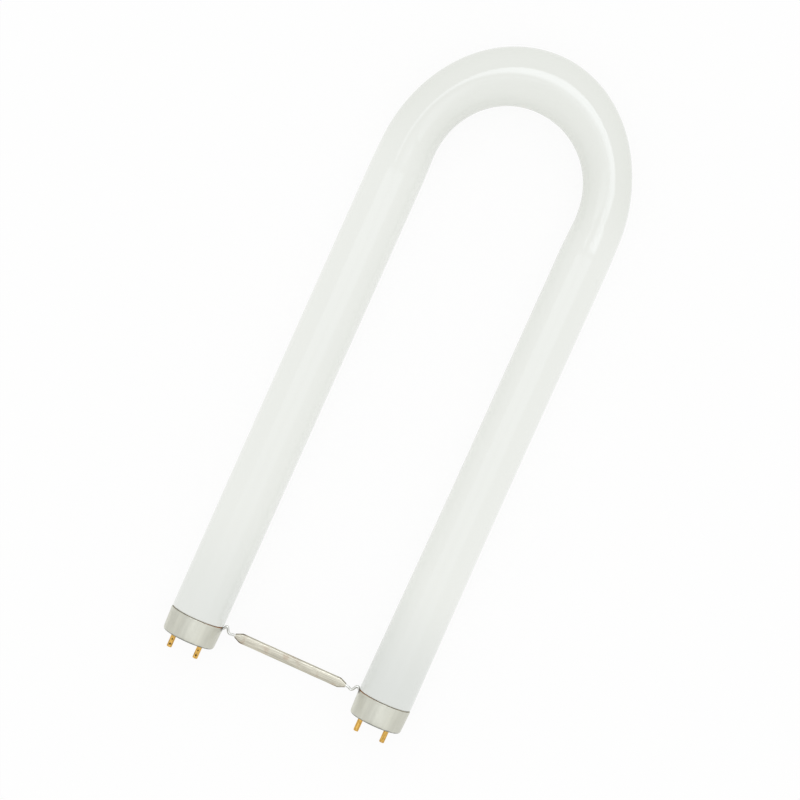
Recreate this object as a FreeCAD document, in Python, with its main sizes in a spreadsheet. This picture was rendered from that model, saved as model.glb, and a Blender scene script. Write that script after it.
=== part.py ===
# U-shaped fluorescent lamp, lying flat.
# Millimetres, +Z up. The legs run along Y, with the pins at -Y and the bend at +Y. The U lies in a plane
# parallel to XY, and the origin is under the middle of the lamp, on the surface it rests on.

import FreeCAD
import Part
import Sketcher
import math
import os

V = FreeCAD.Vector
doc = FreeCAD.newDocument("u_lamp")
sheet = doc.addObject("Spreadsheet::Sheet", "sizes")

SIZES = [
    # the lamp as a whole
    ("overall_length", 313.0, "pin tips to the crown of the bend"),
    ("leg_spacing", 92.0, "between the centre lines of the legs"),
    ("bend_rise", 51.8, "height of the bend's centre line over the end of the legs"),
    # the glass, which is drawn thinner at the shoulders and blown wider at the crown
    ("tube_diameter", 25.0, "glass where it meets the caps"),
    ("left_leg_diameter", 25.3, "left leg below the bend"),
    ("right_leg_diameter", 23.4, "right leg below the bend"),
    ("left_shoulder_diameter", 23.8, "narrowest place on the left of the bend"),
    ("right_shoulder_diameter", 21.8, "narrowest place on the right of the bend"),
    ("crown_diameter", 27.3, "widest place, at the top of the bend"),
    ("leg_taper", 100.0, "length over which a leg goes from its cap's diameter to its own"),
    ("run_in", 16.0, "spacing of the glass sections just below the bend"),
    ("shoulder_round", 1.4, "rounding where a leg necks down into its cap"),
    ("shoulder_length", 2.0, "length of the necked end above its step"),
    ("neck_depth", 7.0, "glass inside the cap, from the rim"),
    ("neck_bevel", 1.6, "bevel of the glass end"),
    ("recess_diameter", 12.0, "mouth of the inward fold that seals the end"),
    ("recess_floor", 7.0, "floor of that fold"),
    ("recess_depth", 4.0, "depth of that fold"),
    # the drawn aluminium caps
    ("cap_oversize", 0.2, "rim diameter over the glass"),
    ("cap_height", 11.0, "end face to rim"),
    ("cap_taper", 0.7, "draw of the skirt: rim diameter less that of the end"),
    ("cap_wall", 0.4, "sheet of the cap"),
    ("cap_corner", 1.3, "outer rounding of the end"),
    ("rim_gap", 0.3, "rim to the step in the glass"),
    ("cement_depth", 6.0, "cement below the rim"),
    # the insulator plate and its pins
    ("pin_spacing", 12.7, "between the two pins of a cap"),
    ("pin_diameter", 2.35, "contact pin"),
    ("pin_length", 6.8, "pin outside the cap"),
    ("pin_bore", 1.2, "bore of the hollow pin"),
    ("pin_bevel", 0.4, "bevel of the pin's tip"),
    ("shank_diameter", 1.9, "pin inside the insulator"),
    ("head_diameter", 3.2, "riveted head behind the insulator"),
    ("head_thickness", 0.6, "thickness of that head"),
    ("boss_width", 5.8, "raised oval of the insulator, across"),
    ("flange_lap", 0.6, "insulator flange behind the cap's end, each side"),
    ("flange_thickness", 1.6, "insulator flange"),
    ("seat_gap", 0.05, "play between pieces that fit together"),
    ("lead_diameter", 0.6, "lead wire"),
    ("lead_spacing", 4.6, "between the lead wires where they leave the glass"),
    # the brace between the caps
    ("wire_diameter", 1.2, "tie wire"),
    ("wire_bend", 0.8, "bend radius of the tie wire"),
    ("hook_depth", 5.0, "hook inside the cap, from the rim"),
    ("hook_drop", 0.35, "wire below the rim where it goes in"),
    ("wave_high", 1.3, "corner of the wave towards the bend, over the rim"),
    ("wave_low", 1.9, "corner of the wave towards the pins, under the rim"),
    ("brace_drop", 0.9, "sleeve's centre line under the rim"),
    ("sleeve_length", 54.3, "flattened sleeve, tip to tip"),
    ("sleeve_width", 4.7, "sleeve across"),
    ("sleeve_thickness", 2.2, "sleeve from its lower to its upper face"),
    ("sleeve_sheet", 0.3, "wall of the sleeve"),
    ("sleeve_taper", 3.4, "length of each pinched end"),
]

for row, (alias, number, note) in enumerate(SIZES, start=1):
    sheet.set("A%d" % row, alias)
    sheet.set("B%d" % row, str(number))
    sheet.set("C%d" % row, note)
    sheet.setAlias("B%d" % row, alias)
doc.recompute()


def num(text):
    """Value of an expression as a plain number."""
    result = sheet.evalExpression(text)
    return float(getattr(result, "Value", result))


# Places that several pieces share. Along a leg, "up" counts from the cap's end face towards the bend.
AXIS_Z = "(sizes.crown_diameter / 2)"
FACE_Y = "(sizes.pin_length - sizes.overall_length / 2)"
RIM_Y = "(" + FACE_Y + " + sizes.cap_height)"
SPRING_Y = "(sizes.overall_length / 2 - sizes.crown_diameter / 2 - sizes.bend_rise)"
HALF = "(sizes.leg_spacing / 2)"
RIM_R = "((sizes.tube_diameter + sizes.cap_oversize) / 2)"
END_R = "(" + RIM_R + " - sizes.cap_taper / 2)"
WIRE_R = "(sizes.wire_diameter / 2)"
STEP_UP = "(sizes.cap_height + sizes.rim_gap)"
JOIN_UP = "(" + STEP_UP + " + sizes.shoulder_length)"
NECK_END = "(sizes.cap_height - sizes.neck_depth)"
# the hook and the glass neck share the room inside the narrow end of the skirt
HOOK_R = "(" + END_R + " - sizes.cap_wall - sizes.seat_gap - " + WIRE_R + ")"
NECK_R = "(" + HOOK_R + " - " + WIRE_R + " - sizes.seat_gap)"
PLATE_UP = "(sizes.cap_wall + sizes.flange_thickness)"
BOSS_R = "(sizes.boss_width / 2)"


def skirt(up):
    """Outer radius of the drawn cap at a height over its end face."""
    return "(%s + sizes.cap_taper / 2 * %s / sizes.cap_height)" % (END_R, up)


def place(item, across, along, turn="0"):
    """Put an object on a leg's axis plane, turned about its own Y axis."""
    spot = "vector(%s; %s; %s)" % (across, along, AXIS_Z)
    item.setExpression("Placement", "placement(%s; rotation(0; %s; 0))" % (spot, turn))


def new_body(name):
    body = doc.addObject("PartDesign::Body", name)
    body.Label = name
    return body


def new_sketch(body, name, plane, shift=None):
    """Sketch on one of the body's own origin planes, moved along its normal by an expression."""
    sketch = body.newObject("Sketcher::SketchObject", name)
    support = [f for f in body.Origin.OriginFeatures if f.Role == plane][0]
    sketch.AttachmentSupport = [(support, "")]
    sketch.MapMode = "FlatFace"
    if shift:
        sketch.setExpression("AttachmentOffset.Base.z", shift)
    return sketch


def pin_point(sketch, geo, pos, across, up):
    """Fix a sketch point by its two distances from the sketch's origin."""
    for kind, text, axis in (("DistanceX", across, -2), ("DistanceY", up, -1)):
        size = num(text)
        if abs(size) < 1e-9:
            sketch.addConstraint(Sketcher.Constraint("PointOnObject", geo, pos, axis))
        elif size > 0:
            index = sketch.addConstraint(Sketcher.Constraint(kind, -1, 1, geo, pos, size))
            sketch.setExpression("Constraints[%d]" % index, text)
        else:
            index = sketch.addConstraint(Sketcher.Constraint(kind, geo, pos, -1, 1, -size))
            sketch.setExpression("Constraints[%d]" % index, "-(%s)" % text)


def outline(body, name, plane, corners):
    """Closed outline with straight sides through corners given as (across, up) expressions."""
    sketch = new_sketch(body, name, plane)
    spots = [V(num(x), num(y), 0) for x, y in corners]
    count = len(spots)
    for i in range(count):
        sketch.addGeometry(Part.LineSegment(spots[i], spots[(i + 1) % count]), False)
    for i in range(count):
        sketch.addConstraint(Sketcher.Constraint("Coincident", i, 2, (i + 1) % count, 1))
    for i, (x, y) in enumerate(corners):
        pin_point(sketch, i, 1, x, y)
    return sketch


def oval(body, name, plane, reach, radius, shift=None):
    """Round-ended slot: arc centres at plus and minus reach on the sketch's X axis."""
    sketch = new_sketch(body, name, plane, shift)
    c = num(reach)
    r = num(radius)
    quarter = math.pi / 2
    sketch.addGeometry(Part.LineSegment(V(-c, r, 0), V(c, r, 0)), False)
    sketch.addGeometry(Part.ArcOfCircle(Part.Circle(V(c, 0, 0), V(0, 0, 1), r), -quarter, quarter), False)
    sketch.addGeometry(Part.LineSegment(V(c, -r, 0), V(-c, -r, 0)), False)
    sketch.addGeometry(Part.ArcOfCircle(Part.Circle(V(-c, 0, 0), V(0, 0, 1), r), quarter, 3 * quarter), False)
    sketch.addConstraint(Sketcher.Constraint("Tangent", 0, 2, 1, 2))
    sketch.addConstraint(Sketcher.Constraint("Tangent", 1, 1, 2, 1))
    sketch.addConstraint(Sketcher.Constraint("Tangent", 2, 2, 3, 2))
    sketch.addConstraint(Sketcher.Constraint("Tangent", 3, 1, 0, 1))
    sketch.addConstraint(Sketcher.Constraint("Equal", 1, 3))
    sketch.addConstraint(Sketcher.Constraint("Symmetric", 1, 3, 3, 3, -1, 1))
    sketch.addConstraint(Sketcher.Constraint("PointOnObject", 1, 3, -1))
    index = sketch.addConstraint(Sketcher.Constraint("Radius", 1, r))
    sketch.setExpression("Constraints[%d]" % index, radius)
    index = sketch.addConstraint(Sketcher.Constraint("DistanceX", -1, 1, 1, 3, c))
    sketch.setExpression("Constraints[%d]" % index, reach)
    return sketch


def turned(body, name, corners):
    """Solid of revolution about the body's Y axis, from (radius, up) corners."""
    sketch = outline(body, name + "_profile", "XY_Plane", corners)
    solid = body.newObject("PartDesign::Revolution", name)
    solid.Profile = sketch
    solid.ReferenceAxis = (sketch, ["V_Axis"])
    solid.Angle = 360
    doc.recompute()
    return solid


def rounded(body, name, base, spot, radius):
    """Round the circular edge of a turned feature that lies at the given (radius, up) place."""
    r, up = [num(text) for text in spot]
    picks = []
    for i, edge in enumerate(base.Shape.Edges, start=1):
        if not isinstance(edge.Curve, Part.Circle):
            continue
        if abs(edge.Curve.Radius - r) < 1e-4 and abs(edge.Curve.Center.y - up) < 1e-4:
            picks.append("Edge%d" % i)
    if len(picks) != 1:
        raise RuntimeError("%s: %d edges found" % (name, len(picks)))
    fillet = body.newObject("PartDesign::Fillet", name)
    fillet.Base = (base, picks)
    fillet.setExpression("Radius", radius)
    doc.recompute()
    return fillet


def bends_fit(corners, radius):
    """Whether each straight run of a path has room for the arcs at its two ends."""
    cuts = [0.0]
    for before, corner, after in zip(corners, corners[1:], corners[2:]):
        turn = (corner - before).getAngle(after - corner)
        cuts.append(radius * math.tan(turn / 2))
    cuts.append(0.0)
    runs = [(b - a).Length for a, b in zip(corners, corners[1:])]
    return all(cuts[i] + cuts[i + 1] < 0.98 * run for i, run in enumerate(runs))


def rounded_path(name, corners, radius):
    """Planar path of straight runs joined by tangent arcs of one radius."""
    edges = []
    last = corners[0]
    for before, corner, after in zip(corners, corners[1:], corners[2:]):
        way_in = (corner - before).normalize()
        way_out = (after - corner).normalize()
        half_turn = way_in.getAngle(way_out) / 2
        if half_turn < 1e-3:
            continue
        cut = radius * math.tan(half_turn)
        start = corner - way_in * cut
        end = corner + way_out * cut
        inward = (way_out - way_in).normalize()
        middle = corner + inward * (radius / math.cos(half_turn) - radius)
        edges.append(Part.LineSegment(last, start).toShape())
        edges.append(Part.Arc(start, middle, end).toShape())
        last = end
    edges.append(Part.LineSegment(last, corners[-1]).toShape())
    path = doc.addObject("Part::Feature", name)
    path.Shape = Part.Wire(edges)
    return path


def drawn_wire(name, path, diameter, transition="Transformed"):
    """Round wire swept along a path."""
    ring = doc.addObject("Part::Circle", name + "_section")
    ring.setExpression("Radius", diameter + " / 2")
    first = path.Shape.Edges[0]
    start = first.valueAt(first.FirstParameter)
    heading = first.tangentAt(first.FirstParameter)
    ring.Placement = FreeCAD.Placement(start, FreeCAD.Rotation(V(0, 0, 1), heading))
    wire = doc.addObject("Part::Sweep", name)
    wire.Sections = [ring]
    wire.Spine = (path, ["Edge%d" % i for i in range(1, len(path.Shape.Edges) + 1)])
    wire.Solid = True
    wire.Frenet = False
    wire.Transition = transition
    wire.Label = name
    return wire


nodes = []

# Glass. The bend's centre line is half an ellipse. Rings stand square to it, evenly spaced, and one smooth
# skin runs through them. It starts and ends on the straight, where the turned legs take over.
SHOULDER = 20.0
STATIONS = (0.0, SHOULDER, 37.5, 55.0, 72.5)
LEG_TOP = "(%s - 2 * sizes.run_in)" % SPRING_Y


def glass_ring(name, across, along, heading, diameter):
    ring = doc.addObject("Part::Circle", name)
    ring.setExpression("Radius", "(%s) / 2" % diameter)
    spot = "vector(%s; %s; %s)" % (across, along, AXIS_Z)
    ring.setExpression("Placement", "placement(%s; rotation(%s; 0; -90))" % (spot, heading))
    return ring


def half_of_bend(side, sign):
    """Rings of one half of the bend, from the leg up to the crown, all facing one way round the U."""
    leg = "sizes.%s_leg_diameter" % side
    shoulder = "sizes.%s_shoulder_diameter" % side
    x = "(%d * %s)" % (sign, HALF)
    straight = "0" if sign > 0 else "180"
    found = []
    for k in (2, 1):
        along = "(%s - %d * sizes.run_in)" % (SPRING_Y, k)
        found.append(glass_ring("%s_ring_leg_%d" % (side, k), x, along, straight, leg))
    for k, angle in enumerate(STATIONS):
        if angle < SHOULDER:
            size = "(%s + %s) / 2" % (leg, shoulder)
        else:
            u = (angle - SHOULDER) / (90.0 - SHOULDER)
            swell = u * u * (3 - 2 * u)
            size = "%s + %.4f * (sizes.crown_diameter - %s)" % (shoulder, swell, shoulder)
        across = "(%s * cos(%.1f))" % (x, angle)
        along = "(%s + sizes.bend_rise * sin(%.1f))" % (SPRING_Y, angle)
        lean = "atan2(%s * sin(%.1f); sizes.bend_rise * cos(%.1f))" % (HALF, angle, angle)
        heading = lean if sign > 0 else "180 deg - " + lean
        found.append(glass_ring("%s_ring_bend_%d" % (side, k), across, along, heading, size))
    return found


def glass_leg(side, sign):
    """Leg turned from its run-in at the bend down to the necked and sealed end inside the cap."""
    body = new_body(side + "_leg_glass")
    leg_r = "(sizes.%s_leg_diameter / 2)" % side
    tube_r = "(sizes.tube_diameter / 2)"
    top_up = "(%s - %s)" % (LEG_TOP, FACE_Y)
    floor_up = "(%s + sizes.recess_depth)" % NECK_END
    solid = turned(body, side + "_leg_turn", [
        ("0", top_up),
        (leg_r, top_up),
        (leg_r, "(%s + sizes.leg_taper)" % JOIN_UP),
        (tube_r, JOIN_UP),
        (tube_r, STEP_UP),
        (NECK_R, STEP_UP),
        (NECK_R, "(%s + sizes.neck_bevel)" % NECK_END),
        ("(%s - sizes.neck_bevel)" % NECK_R, NECK_END),
        ("sizes.recess_diameter / 2", NECK_END),
        ("sizes.recess_floor / 2", floor_up),
        ("0", floor_up),
    ])
    rounded(body, side + "_leg_shoulder", solid, (tube_r, STEP_UP), "sizes.shoulder_round")
    place(body, "%d * %s" % (sign, HALF), FACE_Y)
    return body


rings = half_of_bend("right", 1)
crown_y = "(%s + sizes.bend_rise)" % SPRING_Y
rings.append(glass_ring("crown_ring", "0", crown_y, "90", "sizes.crown_diameter"))
rings += reversed(half_of_bend("left", -1))
bend = doc.addObject("Part::Loft", "bend_glass")
bend.Sections = rings
bend.Solid = True
bend.Ruled = False
bend.Closed = False
bend.MaxDegree = 5
glass = doc.addObject("Part::MultiFuse", "glass_tube")
glass.Shapes = [glass_leg("left", -1), bend, glass_leg("right", 1)]
glass.Refine = False
glass.Label = "glass_tube"
nodes.append(glass)
doc.recompute()

# Tie wire, one length from cap to cap: a hook down inside each rim, a wave, and a straight run through
# the sleeve. The corners are those of the left end, mirrored for the right.
rim_y = num(RIM_Y)
half = num(HALF)
rim_r = num(RIM_R)
level = num(AXIS_Z)
hook_r = num(HOOK_R)
hook_y = -num("sizes.hook_drop")
brace_y = -num("sizes.brace_drop")
bend_r = num("sizes.wire_bend")
free = half - num("sizes.sleeve_length") / 2 - rim_r
WAVE = [(0.11, hook_y), (0.33, num("sizes.wave_high")), (0.62, -num("sizes.wave_low")), (0.84, brace_y)]


def wire_corners(swing):
    """Corners of the wire, with the wave drawn to a share of its full height."""
    left_end = [(hook_r, -num("sizes.hook_depth")), (hook_r, hook_y)]
    for share, height in WAVE:
        line = hook_y + (brace_y - hook_y) * (share - WAVE[0][0]) / (WAVE[-1][0] - WAVE[0][0])
        left_end.append((rim_r + share * free, line + swing * (height - line)))
    found = [V(x - half, rim_y + y, level) for x, y in left_end]
    return found + [V(half - x, rim_y + y, level) for x, y in reversed(left_end)]


# where cap and sleeve stand close, the wave is drawn flatter, so that its bends still fit side by side
swing = 1.0
while swing > 0.0 and not bends_fit(wire_corners(swing), bend_r):
    swing -= 0.05
wire_path = rounded_path("tie_wire_path", wire_corners(swing), bend_r)
tie_wire = drawn_wire("tie_wire", wire_path, "sizes.wire_diameter")
nodes.append(tie_wire)

# Spacer sleeve: a tube flattened on the wire and pinched to it at both ends.
sleeve = new_body("spacer_sleeve")
body_r = "(sizes.sleeve_thickness / 2)"
body_c = "(sizes.sleeve_width / 2 - %s)" % body_r
hole_r = "(%s + sizes.seat_gap)" % WIRE_R
tip_r = "(%s + sizes.sleeve_sheet)" % hole_r
pinch_c = "(0.1 * sizes.wire_diameter)"
tip_at = "(sizes.sleeve_length / 2)"
full_at = "(sizes.sleeve_length / 2 - sizes.sleeve_taper)"
spots = [("-" + tip_at, False), ("-" + full_at, True), (full_at, True), (tip_at, False)]


def sleeve_sections(label, tip_radius, full_radius):
    found = []
    for k, (shift, full) in enumerate(spots):
        reach = body_c if full else pinch_c
        radius = full_radius if full else tip_radius
        found.append(oval(sleeve, "%s_%d" % (label, k), "YZ_Plane", reach, radius, shift))
    return found


outside = sleeve_sections("sleeve_outside", tip_r, body_r)
inside = sleeve_sections("sleeve_inside", hole_r, "(%s - sizes.sleeve_sheet)" % body_r)
doc.recompute()
for kind, name, sections in (("Additive", "sleeve_tube", outside), ("Subtractive", "sleeve_hollow", inside)):
    feature = sleeve.newObject("PartDesign::%sLoft" % kind, name)
    feature.Profile = sections[0]
    feature.Sections = sections[1:]
    feature.Ruled = True
    doc.recompute()
place(sleeve, "0", "%s - sizes.brace_drop" % RIM_Y)
nodes.append(sleeve)


def end_cap(side, x, turn):
    """Drawn cup with an oval opening in its end and a notch in its rim for the tie wire."""
    body = new_body(side + "_end_cap")
    inner_end = "(%s - sizes.cap_wall)" % skirt("sizes.cap_corner")
    cup = turned(body, side + "_cup", [
        ("0", "0"),
        (END_R, "0"),
        (RIM_R, "sizes.cap_height"),
        ("(%s - sizes.cap_wall)" % RIM_R, "sizes.cap_height"),
        (inner_end, "sizes.cap_corner"),
        ("(%s - sizes.cap_corner)" % END_R, "sizes.cap_wall"),
        ("0", "sizes.cap_wall"),
    ])
    rounded(body, side + "_cup_corner", cup, (END_R, "0"), "sizes.cap_corner")
    reach = "(sizes.pin_spacing / 2)"
    hole = oval(body, side + "_cap_opening", "XZ_Plane", reach, "(%s + sizes.seat_gap)" % BOSS_R)
    opening = body.newObject("PartDesign::Pocket", side + "_cap_cut")
    opening.Profile = hole
    opening.Type = "Length"
    opening.Midplane = True
    opening.setExpression("Length", "4 * sizes.cap_wall")
    doc.recompute()
    low = "(sizes.cap_height - sizes.hook_drop - %s - sizes.seat_gap)" % WIRE_R
    high = "(sizes.cap_height + sizes.cap_wall)"
    near = "(%s - 3 * sizes.cap_wall)" % RIM_R
    far = "(%s + sizes.cap_wall)" % RIM_R
    edge = outline(body, side + "_notch_shape", "XY_Plane", [(near, low), (far, low), (far, high), (near, high)])
    notch = body.newObject("PartDesign::Pocket", side + "_notch")
    notch.Profile = edge
    notch.Type = "Length"
    notch.Midplane = True
    notch.setExpression("Length", "sizes.wire_diameter + 2 * sizes.seat_gap")
    doc.recompute()
    place(body, x, FACE_Y, turn)
    return body


def insulator(side, x, turn):
    """Moulded plate: an oval boss that fills the cap's opening, on a wider flange behind it."""
    body = new_body(side + "_pin_insulator")
    reach = "(sizes.pin_spacing / 2)"
    flange_r = "(%s + sizes.flange_lap)" % BOSS_R
    for name, radius, start, length in (
            ("flange", flange_r, "-sizes.cap_wall", "sizes.flange_thickness"),
            ("boss", BOSS_R, None, "sizes.cap_wall")):
        shape = oval(body, "%s_%s_shape" % (side, name), "XZ_Plane", reach, radius, start)
        pad = body.newObject("PartDesign::Pad", "%s_%s" % (side, name))
        pad.Profile = shape
        pad.setExpression("Length", length)
        pad.Reversed = True
        doc.recompute()
    holes = new_sketch(body, side + "_pin_holes_shape", "XZ_Plane")
    for k, sign in enumerate((-1, 1)):
        spot = "%d * %s" % (sign, reach)
        radius = num("sizes.shank_diameter / 2")
        holes.addGeometry(Part.Circle(V(num(spot), 0, 0), V(0, 0, 1), radius), False)
        pin_point(holes, k, 3, spot, "0")
        index = holes.addConstraint(Sketcher.Constraint("Radius", k, radius))
        holes.setExpression("Constraints[%d]" % index, "sizes.shank_diameter / 2")
    cut = body.newObject("PartDesign::Pocket", side + "_pin_holes")
    cut.Profile = holes
    cut.Type = "Length"
    cut.Midplane = True
    cut.setExpression("Length", "3 * %s" % PLATE_UP)
    doc.recompute()
    place(body, x, FACE_Y, turn)
    return body


def contact_pin(name, x, turn):
    """Hollow pin riveted through the insulator."""
    body = new_body(name)
    pin_r = "(sizes.pin_diameter / 2)"
    bore_r = "(sizes.pin_bore / 2)"
    shank_r = "(sizes.shank_diameter / 2)"
    head_r = "(sizes.head_diameter / 2)"
    tip = "(-sizes.pin_length)"
    head_up = "(%s + sizes.head_thickness)" % PLATE_UP
    turned(body, name + "_turn", [
        (bore_r, tip),
        ("(%s - sizes.pin_bevel)" % pin_r, tip),
        (pin_r, "(%s + sizes.pin_bevel)" % tip),
        (pin_r, "0"),
        (shank_r, "0"),
        (shank_r, PLATE_UP),
        (head_r, PLATE_UP),
        (head_r, head_up),
        (bore_r, head_up),
    ])
    place(body, x, FACE_Y, turn)
    return body


def lead_wire(name, leg_x, toward):
    """Lead from the fold in the glass, out to its pin and down the pin's bore to the tip."""
    face = num(FACE_Y)
    pin_x = leg_x + toward * num("sizes.pin_spacing / 2")
    stem_x = leg_x + toward * num("sizes.lead_spacing / 2")
    start = num("%s + sizes.recess_depth" % NECK_END)
    high = num("%s + 0.2 * sizes.recess_depth" % NECK_END)
    low = num("%s + sizes.head_thickness + sizes.lead_diameter" % PLATE_UP)
    points = [
        V(stem_x, face + start, level),
        V(stem_x, face + high, level),
        V(pin_x, face + low, level),
        V(pin_x, face - num("sizes.pin_length"), level),
    ]
    path = doc.addObject("Part::Feature", name + "_path")
    path.Shape = Part.makePolygon(points)
    return drawn_wire(name, path, "sizes.lead_diameter", "Right corner")


def cement(side, x, turn):
    """Ring between the glass neck and the skirt, set round the hook of the tie wire."""
    body = new_body(side + "_cement_ring")
    low = "(sizes.cap_height - sizes.cement_depth)"
    bead = "(%s - sizes.cap_wall - sizes.seat_gap)" % RIM_R
    turned(body, side + "_cement_turn", [
        (NECK_R, low),
        ("(%s - sizes.cap_wall)" % skirt(low), low),
        ("(%s - sizes.cap_wall)" % RIM_R, "sizes.cap_height"),
        (bead, STEP_UP),
        (NECK_R, STEP_UP),
    ])
    place(body, x, FACE_Y, turn)
    ring = doc.addObject("Part::Cut", side + "_cap_cement")
    ring.Base = body
    ring.Tool = tie_wire
    ring.Label = side + "_cap_cement"
    return ring


# The two ends are the same, the right one turned half a turn, so each cap's notch faces the other leg.
for side, sign, turn in (("left", -1, "0"), ("right", 1, "180")):
    x = "(%d * %s)" % (sign, HALF)
    nodes.append(end_cap(side, x, turn))
    nodes.append(insulator(side, x, turn))
    nodes.append(cement(side, x, turn))
    for where, toward in (("outer", sign), ("inner", -sign)):
        pin_x = "(%s + %d * sizes.pin_spacing / 2)" % (x, toward)
        nodes.append(contact_pin("%s_%s_pin" % (side, where), pin_x, turn))
        nodes.append(lead_wire("%s_%s_lead" % (side, where), num(x), toward))

doc.recompute()
for item in doc.Objects:
    if "Invalid" in item.State or "Error" in item.State:
        raise RuntimeError("%s failed: %s" % (item.Label, item.State))
for node in nodes:
    shape = node.Shape
    if shape.isNull() or not shape.isValid() or len(shape.Solids) != 1:
        raise RuntimeError("%s has no single valid solid" % node.Label)

os.makedirs("parts", exist_ok=True)
for node in nodes:
    node.Shape.exportStep("parts/%s.step" % node.Label)
    print("%-20s %10.2f mm3" % (node.Label, node.Shape.Volume))
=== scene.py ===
"""U-shaped fluorescent lamp: glass, caps, pins and brace, with the table it lies on.

Each operator models one piece or one group of like pieces in metres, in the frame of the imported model.
Along a leg, "up" counts from the cap's end face towards the bend.
"""

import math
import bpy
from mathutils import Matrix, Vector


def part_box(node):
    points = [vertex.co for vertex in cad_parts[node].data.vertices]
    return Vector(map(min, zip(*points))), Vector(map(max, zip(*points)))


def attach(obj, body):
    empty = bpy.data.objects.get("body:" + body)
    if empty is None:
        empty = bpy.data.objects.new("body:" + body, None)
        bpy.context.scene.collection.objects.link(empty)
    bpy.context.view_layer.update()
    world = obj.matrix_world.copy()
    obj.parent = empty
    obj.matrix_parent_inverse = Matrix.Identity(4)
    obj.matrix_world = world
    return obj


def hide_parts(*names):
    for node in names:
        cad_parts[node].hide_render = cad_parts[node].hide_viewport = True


bl_info = {
    "name": "U-Shaped Fluorescent Lamp",
    "version": (1, 0, 0),
    "blender": (4, 5, 0),
    "location": "View3D > Sidebar > Lamp",
    "description": "Models a bent fluorescent lamp with its caps, pins and brace, and lights it",
    "category": "Object",
}

import bmesh
import bpy
from bpy.props import FloatProperty, FloatVectorProperty, IntProperty, PointerProperty
from mathutils import Matrix, Vector

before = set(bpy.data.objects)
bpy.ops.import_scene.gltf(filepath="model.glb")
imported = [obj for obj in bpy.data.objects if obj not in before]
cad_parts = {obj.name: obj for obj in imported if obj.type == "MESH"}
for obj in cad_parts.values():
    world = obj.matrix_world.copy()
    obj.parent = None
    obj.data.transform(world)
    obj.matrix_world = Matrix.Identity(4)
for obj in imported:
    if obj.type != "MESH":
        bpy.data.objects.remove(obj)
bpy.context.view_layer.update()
CAP_LOW, CAP_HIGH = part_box("right_end_cap")
PLATE_LOW, PLATE_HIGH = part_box("right_pin_insulator")
GLASS_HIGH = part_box("glass_tube")[1]
PIN_LOW, PIN_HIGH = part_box("right_outer_pin")
HALF = (PLATE_LOW.x + PLATE_HIGH.x) / 2
AXIS_Z = (PLATE_LOW.z + PLATE_HIGH.z) / 2
FACE_Y = CAP_LOW.y
RIM_Y = CAP_HIGH.y
SIDES = (("left", -1), ("right", 1))
# corners of a ring of each turned piece
CAP_SIDES = 96
CEMENT_SIDES = 160
PIN_SIDES = 48
SLEEVE_SIDES = 48
# rings of the glass in each rounding, up each leg, below the bend and round half of it
ROUND_RINGS = 8
LEG_RINGS = 24
RUN_RINGS = 8
BEND_RINGS = 36
# degrees from one ring to the next round the bend, and from a leg to the narrowest place
BEND_STEP = 2.5
NARROW_AT = 20
# crimp dents of a pin: millimetres from its tip, and depth
DENTS = ((1.6, 0.36), (4.0, 0.2))
# the softboxes' height in metres, the half axes and the middle of the arch, and the degrees where it starts
# and that it goes round
SOFTBOX_Z = 1.2
ARCH_X = 0.55
ARCH_Y = 0.47
ARCH_MIDDLE = 0.05
ARCH_START = 169.0
ARCH_SWEEP = 148.0
# shares and levels across and along the arch, and across the panels
ARCH_ACROSS = ((0.0, 0.0), (0.56, 0.0), (0.67, 0.12), (0.77, 1.0), (0.97, 1.0), (1.0, 0.6))
ARCH_ALONG = ((0.0, 0.5), (0.1, 0.6), (0.25, 0.8), (0.4, 1.0), (0.85, 1.0), (0.95, 0.9), (1.0, 0.6))
PANEL_ACROSS = ((0.0, 1.0), (0.06, 1.0), (0.1, 0.85), (0.9, 0.85), (0.94, 1.0))
# panels: name, left, right, near and far edge, shares and levels along it, whether it has a grid
PANELS = (
    ("leg", -0.95, 0.76, -0.45, 0.118,
     ((0.0, 0.0), (0.25, 0.08), (0.44, 0.15), (0.67, 0.26), (0.97, 0.37)), False),
    ("foot", 0.0, 0.72, 0.142, 0.190, ((0.0, 1.0), (1.0, 0.9)), True),
)
# camera: place in metres, and turns in degrees
CAMERA_AT = (0.0036, 0.0922, 1.6107)
CAMERA_TURNS = (("Y", 0.24), ("X", -3.75), ("Z", 24.23))


def mm(value):
    """Millimetres as metres."""
    return value * 0.001


def in_mm(value):
    """Metres as millimetres."""
    return value * 1000


def linear(code):
    """sRGB hex code as a linear colour with alpha."""
    shares = [int(code[i:i + 2], 16) / 255 for i in (0, 2, 4)]
    levels = [s / 12.92 if s <= 0.04045 else ((s + 0.055) / 1.055) ** 2.4 for s in shares]
    return (*levels, 1.0)


def ease(share):
    """Smooth step from 0 to 1."""
    share = min(max(share, 0.0), 1.0)
    return share * share * (3 - 2 * share)


def length(name, value, note):
    return FloatProperty(name=name, description=note, default=value, min=0.0, unit="LENGTH", precision=5)


def colour(name, code, note):
    return FloatVectorProperty(
        name=name, description=note, default=linear(code), size=4, min=0.0, max=1.0, subtype="COLOR")


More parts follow.
